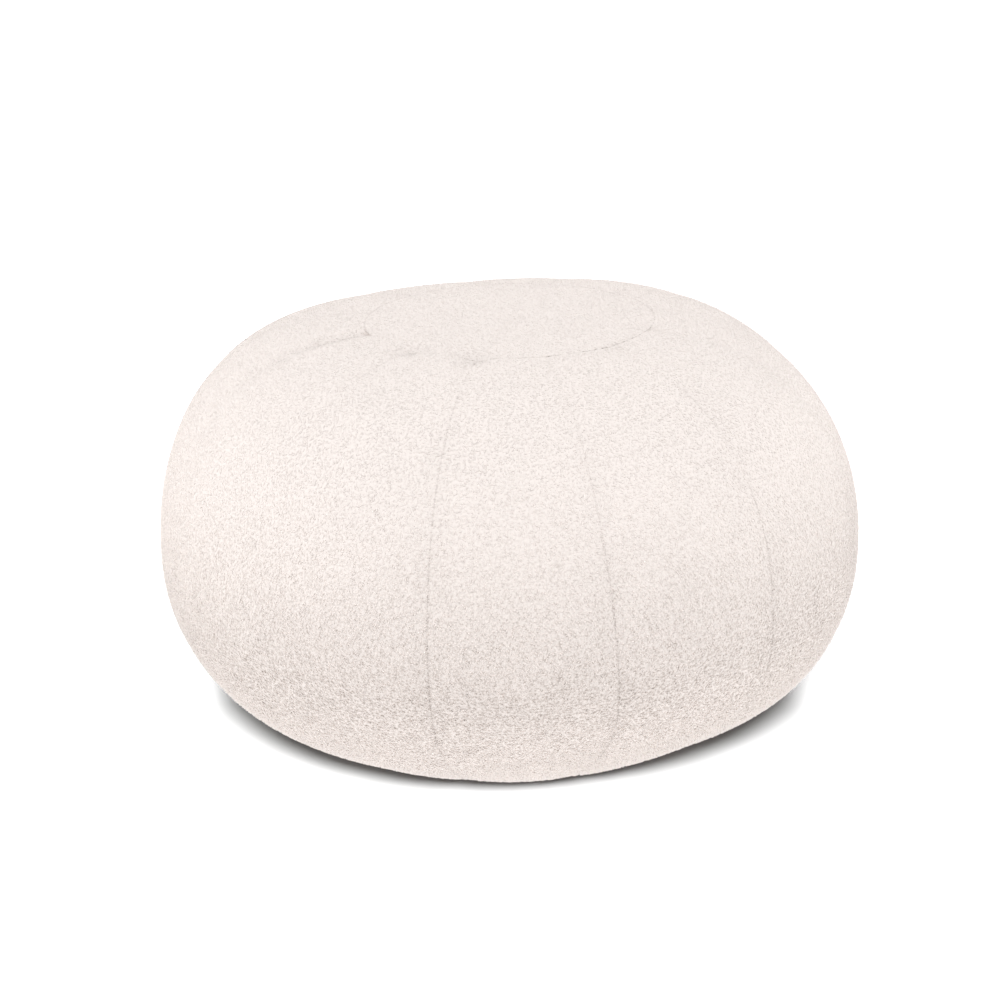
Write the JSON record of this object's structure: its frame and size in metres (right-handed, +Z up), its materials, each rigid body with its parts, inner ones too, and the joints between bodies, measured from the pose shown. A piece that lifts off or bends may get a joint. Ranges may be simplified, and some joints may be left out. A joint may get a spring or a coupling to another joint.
{
  "type": "bean bag footstool",
  "caption": "Round filled footstool in cream boucle, sewn from a flat top disc and long side gores that run down under a rounded belly.",
  "frame": {"origin": "middle of the flat underside, on the floor", "axes": "+Z up from the floor to the crown, -Y towards the front, +X to the right seen from the front"},
  "size_m": [0.4999, 0.4997, 0.3089],
  "materials": {
    "boucle_top": "cream looped boucle, matt, slightly paler where it faces up",
    "boucle_side": "cream looped boucle, matt, with small dark gaps between its curls",
    "boucle_base": "the same boucle, pressed flat where it stands"
  },
  "bodies": {
    "root": {"top_disc": "boucle_top", "gore_01": "boucle_side", "gore_02": "boucle_side", "gore_03": "boucle_side", "gore_04": "boucle_side", "gore_05": "boucle_side", "gore_06": "boucle_side", "gore_07": "boucle_side", "gore_08": "boucle_side", "gore_09": "boucle_side", "gore_10": "boucle_side", "gore_11": "boucle_side", "gore_12": "boucle_side", "base_disc": "boucle_base"}
  },
  "joints": []
}
